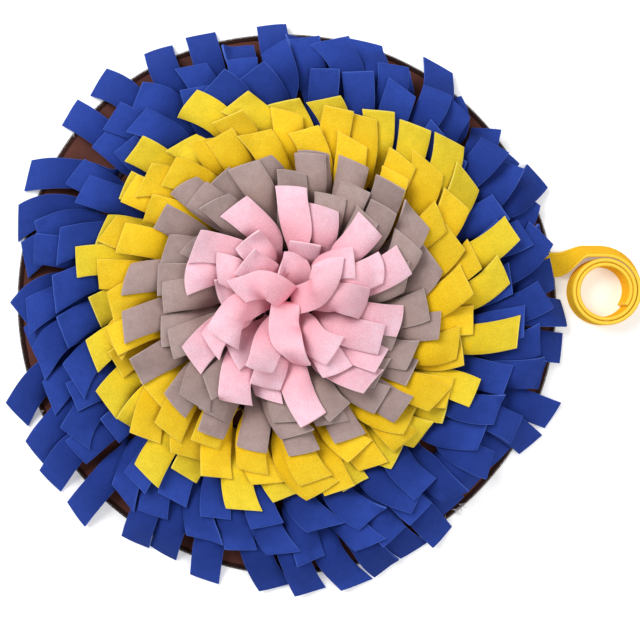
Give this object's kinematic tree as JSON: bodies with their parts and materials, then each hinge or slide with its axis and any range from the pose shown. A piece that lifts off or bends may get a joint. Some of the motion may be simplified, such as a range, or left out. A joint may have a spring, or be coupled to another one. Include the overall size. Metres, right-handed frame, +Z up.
{
  "type": "snuffle mat",
  "caption": "Round pet snuffle mat: a brown base cloth with sewn rings of fleece strips, blue at the rim, then yellow, grey and pink, and a yellow rolling strap coiled beside it.",
  "frame": {"origin": "middle of the base cloth's underside, where the mat rests on the floor", "axes": "+X from the middle towards the coiled strap, +Z up through the pile of strips"},
  "size_m": [0.5884, 0.53, 0.0684],
  "materials": {
    "brown_cloth": "matt woven cloth with an overlocked edge",
    "blue_fleece": "matt fleece felt",
    "yellow_fleece": "matt fleece felt",
    "grey_fleece": "matt fleece felt",
    "pink_fleece": "matt fleece felt",
    "strap_fleece": "matt fleece, doubled"
  },
  "bodies": {
    "root": {"base_cloth": "brown_cloth", "blue_row_1": "blue_fleece", "blue_row_2": "blue_fleece", "blue_row_3": "blue_fleece", "yellow_row_1": "yellow_fleece", "yellow_row_2": "yellow_fleece", "yellow_row_3": "yellow_fleece", "grey_row_1": "grey_fleece", "grey_row_2": "grey_fleece", "grey_row_3": "grey_fleece", "pink_row_1": "pink_fleece", "pink_row_2": "pink_fleece", "pink_row_3": "pink_fleece", "pink_centre": "pink_fleece", "strap": "strap_fleece"}
  },
  "joints": []
}
